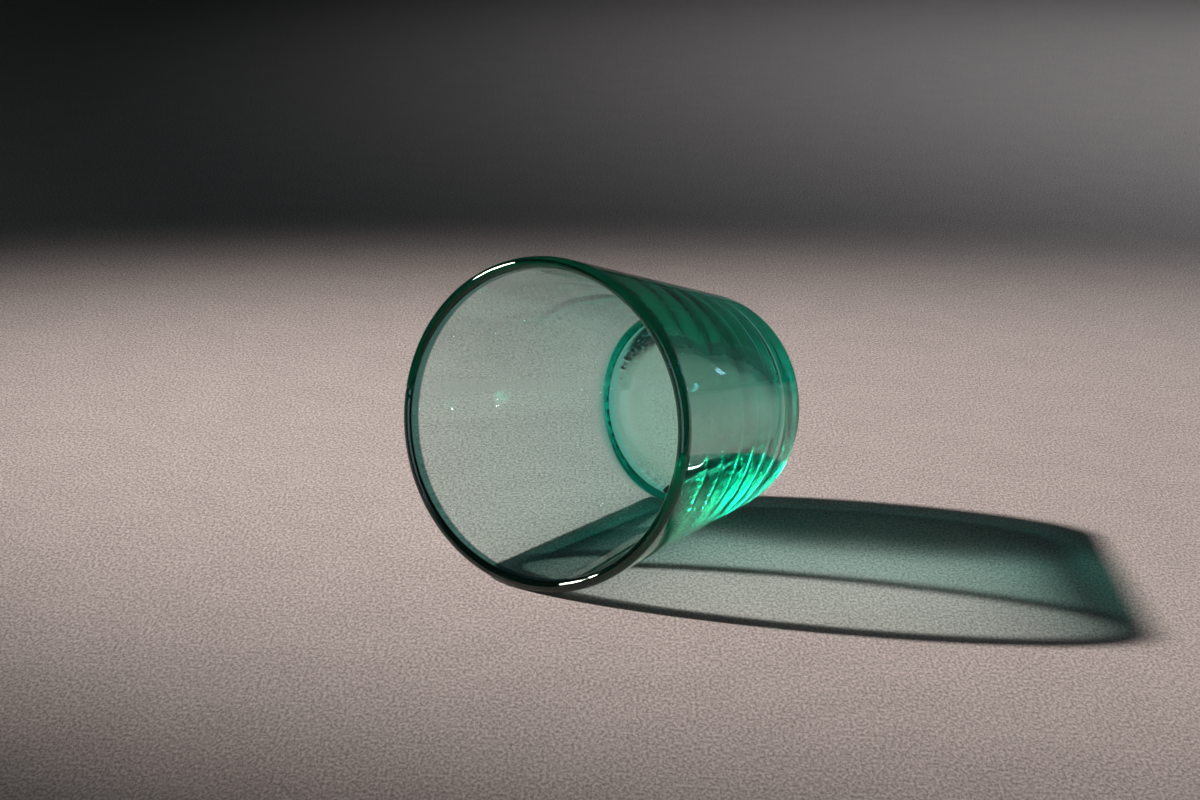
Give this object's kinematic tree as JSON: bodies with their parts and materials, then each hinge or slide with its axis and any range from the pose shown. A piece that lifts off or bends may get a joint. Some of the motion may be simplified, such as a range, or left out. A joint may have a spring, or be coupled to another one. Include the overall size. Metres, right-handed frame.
{
  "type": "glass tumbler",
  "caption": "Straight-tapered pressed drinking glass in clear green, with a melted round lip, a thick base and a grooved ring to stand on.",
  "frame": {"origin": "centre of the circle that the tumbler stands on, in the plane of the table", "axes": "+Z along the tumbler's axis from the foot to the mouth; X and Y are alike, because the glass is round"},
  "size_m": [0.08, 0.08, 0.08],
  "materials": {
    "green_glass": "clear green soda-lime glass, fire-polished, slightly wavy from the mould"
  },
  "bodies": {
    "root": {"tumbler_body": "green_glass"}
  },
  "joints": []
}
